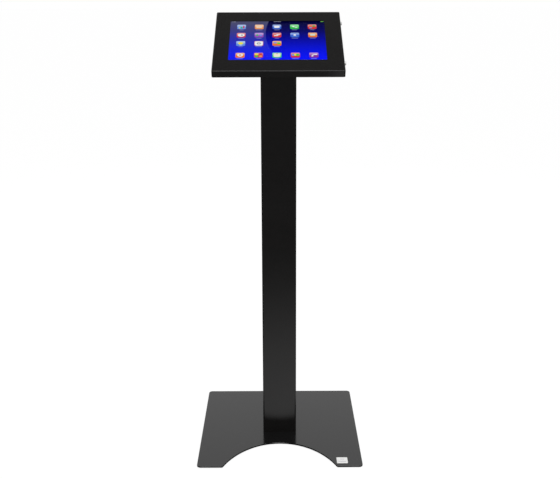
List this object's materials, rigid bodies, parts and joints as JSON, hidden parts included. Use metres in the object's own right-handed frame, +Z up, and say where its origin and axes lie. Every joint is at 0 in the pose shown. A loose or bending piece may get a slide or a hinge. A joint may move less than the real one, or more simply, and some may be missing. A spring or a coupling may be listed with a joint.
{
  "type": "touchscreen kiosk",
  "caption": "Floor-standing touchscreen kiosk: flat base plate with a curved toe cut-out, rectangular column and a thin sloping head with a hinged, screw-locked cover over a tablet.",
  "frame": {"origin": "on the floor, under the middle of the base plate's footprint", "axes": "+Z up; -Y towards the visitor, who faces the screen; +X to the visitor's right"},
  "size_m": [0.425, 0.446, 1.1316],
  "materials": {
    "powder_black": "fine satin-black powder coat",
    "plate_black": "smoother satin-black powder coat",
    "label_white": "printed vinyl",
    "rubber_black": "moulded rubber",
    "foam_black": "closed-cell foam",
    "stainless": "bright stainless steel",
    "zinc_steel": "zinc-plated steel",
    "cradle_plastic": "moulded, fine texture",
    "tablet_metal": "bead-blasted anodised",
    "tablet_glass": "polished, clear over the display",
    "display": "lit display",
    "battery": "pouch cell wrap",
    "board": "printed circuit board"
  },
  "bodies": {
    "root": {"base_plate": "plate_black", "base_pads": "rubber_black", "asset_label": "label_white", "column_tube": "powder_black", "column_foot": "zinc_steel", "foot_screws": "zinc_steel", "cable_grommet": "rubber_black", "head_plate": "powder_black", "head_bolts": "zinc_steel", "head_nuts": "zinc_steel", "tray": "powder_black", "tray_grommet": "rubber_black", "lock_nuts": "zinc_steel", "tray_hinge_leaf": "zinc_steel", "hinge_pin": "stainless", "hinge_rivets": "zinc_steel", "corner_cradles": "cradle_plastic", "cradle_screws": "zinc_steel", "tablet_shell": "tablet_metal", "tablet_glass": "tablet_glass", "display_panel": "display", "battery_cells": "battery", "logic_board": "board", "tablet_speakers": "cradle_plastic", "charge_port": "stainless"},
    "cover": {"cover": "powder_black", "window_gasket": "foam_black", "cover_hinge_leaf": "zinc_steel"},
    "upper_lock_screw": {"upper_lock_screw": "stainless"},
    "lower_lock_screw": {"lower_lock_screw": "stainless"},
    "power_button": {"power_button": "tablet_metal"},
    "volume_rocker": {"volume_rocker": "tablet_metal"}
  },
  "joints": [
    {"name": "cover_hinge", "type": "hinge", "parent": "root", "child": "cover", "pos_m": [-0.157, 0.00105, 1.04674], "axis": [0, -0.8829, -0.4695], "range_deg": [0, 110]},
    {"name": "upper_lock_screw_draw", "type": "slide", "parent": "root", "child": "upper_lock_screw", "axis": [1, 0, 0], "range_m": [0, 0.014]},
    {"name": "lower_lock_screw_draw", "type": "slide", "parent": "root", "child": "lower_lock_screw", "axis": [1, 0, 0], "range_m": [0, 0.014]},
    {"name": "power_press", "type": "slide", "parent": "root", "child": "power_button", "axis": [0, -0.8829, -0.4695], "range_m": [0, 0.0004], "stiffness_N_per_m": 1200},
    {"name": "volume_press", "type": "slide", "parent": "root", "child": "volume_rocker", "axis": [-1, 0, 0], "range_m": [0, 0.0004], "stiffness_N_per_m": 1200}
  ]
}
